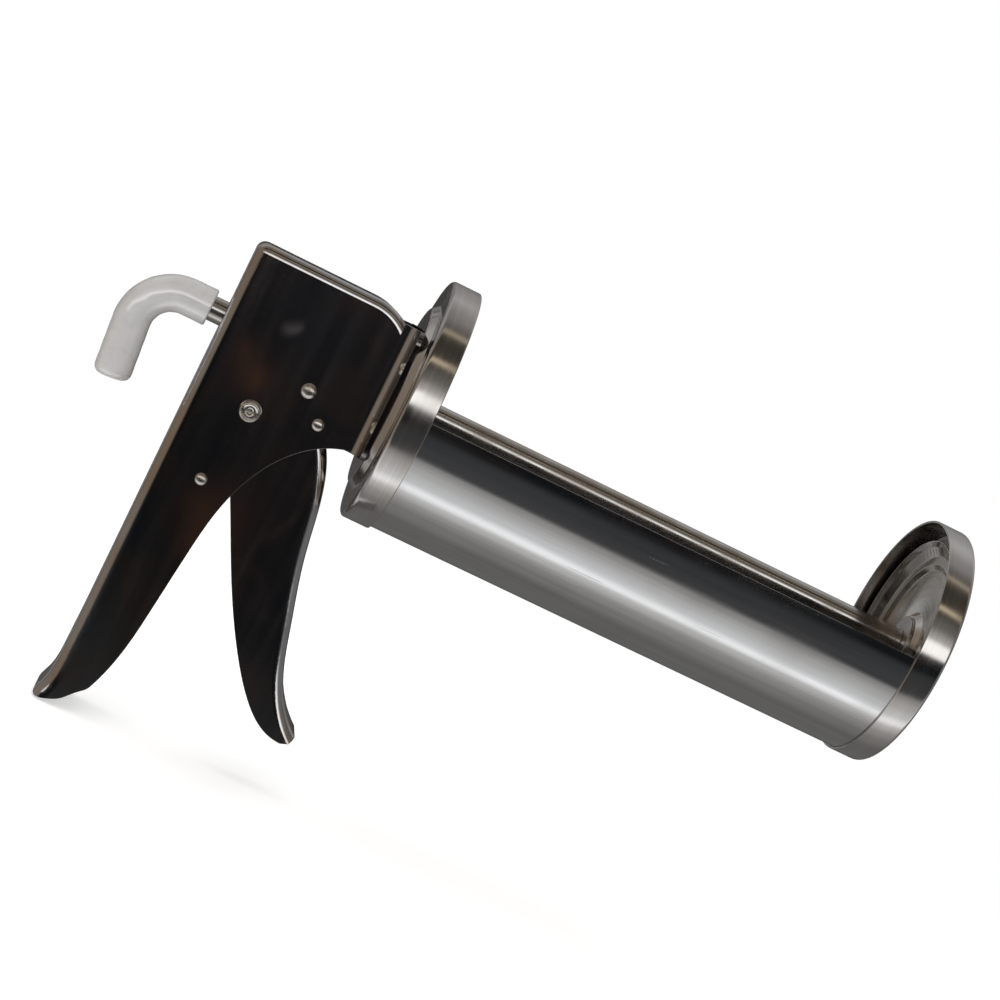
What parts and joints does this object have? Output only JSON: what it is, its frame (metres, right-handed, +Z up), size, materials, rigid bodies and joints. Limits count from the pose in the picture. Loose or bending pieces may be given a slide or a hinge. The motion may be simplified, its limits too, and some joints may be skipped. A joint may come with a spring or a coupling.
{
  "type": "caulking gun",
  "caption": "Hand-squeezed caulking gun: half-round sheet cradle between two cup-shaped caps, ratchet rod with a bent hook, channel grip and pivoting trigger.",
  "frame": {"origin": "centre of the rear cap's back face, on the rod's axis", "axes": "+X forward along the rod towards the nozzle hole, +Z up, the grip hangs towards -Z"},
  "size_m": [0.2789, 0.0814, 0.1714],
  "materials": {
    "polished_frame": "polished stainless sheet",
    "polished_trigger": "polished stainless sheet",
    "cap_steel": "satin pressed stainless sheet",
    "barrel_steel": "satin rolled stainless sheet",
    "piston_steel": "pressed steel disc, satin",
    "rod_steel": "bright drawn rod",
    "rivet_steel": "bright steel",
    "bush_steel": "turned steel",
    "spring_steel": "drawn spring wire",
    "hardened_steel": "hardened steel, oiled",
    "vinyl": "milky white soft vinyl tube"
  },
  "bodies": {
    "frame": {"handle_frame": "polished_frame", "rear_cap": "cap_steel", "barrel": "barrel_steel", "front_cap": "cap_steel", "cap_rivets": "rivet_steel", "front_rod_bush": "bush_steel", "rear_rod_bush": "bush_steel", "trigger_pin": "rivet_steel", "catch_pin": "rivet_steel", "spring_pin": "rivet_steel", "stop_pin": "rivet_steel", "grip_spacer": "bush_steel", "trigger_spring": "spring_steel", "catch_spring": "spring_steel"},
    "trigger": {"trigger": "polished_trigger", "trigger_bush": "bush_steel", "drive_pawl_pin": "rivet_steel", "drive_pawl_spring": "spring_steel"},
    "drive_pawl": {"drive_pawl": "hardened_steel"},
    "catch_pawl": {"catch_pawl": "hardened_steel"},
    "piston": {"piston_disc": "piston_steel", "piston_washer": "bush_steel"},
    "rod": {"rod": "rod_steel", "hook_sleeve": "vinyl", "rod_end_collar": "rivet_steel"}
  },
  "joints": [
    {"name": "piston_slide", "type": "slide", "parent": "frame", "child": "piston", "axis": [1, 0, 0], "range_m": [-0.176, 0]},
    {"name": "rod_turn", "type": "hinge", "parent": "piston", "child": "rod", "pos_m": [0.1832, 0, 0], "axis": [1, 0, 0], "range_deg": [-180, 180]},
    {"name": "trigger_squeeze", "type": "hinge", "parent": "frame", "child": "trigger", "pos_m": [-0.0371, 0, -0.0224], "axis": [0, 1, 0], "range_deg": [0, 16.5], "stiffness_Nm_per_rad": 1.2, "springref_deg": -17.19, "deforming": ["trigger_spring"]},
    {"name": "drive_pawl_swing", "type": "hinge", "parent": "trigger", "child": "drive_pawl", "pos_m": [-0.0418, 0, -0.012], "axis": [0, 1, 0], "range_deg": [-9.5, 0], "deforming": ["drive_pawl_spring"]},
    {"name": "catch_pawl_swing", "type": "hinge", "parent": "frame", "child": "catch_pawl", "pos_m": [-0.0237, 0, -0.009], "axis": [0, 1, 0], "range_deg": [0, 12], "stiffness_Nm_per_rad": 0.02, "springref_deg": -22.92, "deforming": ["catch_spring"]}
  ],
  "couplings": [
    {"joint": "drive_pawl_swing", "follows": "trigger_squeeze", "ratio": -0.56}
  ]
}
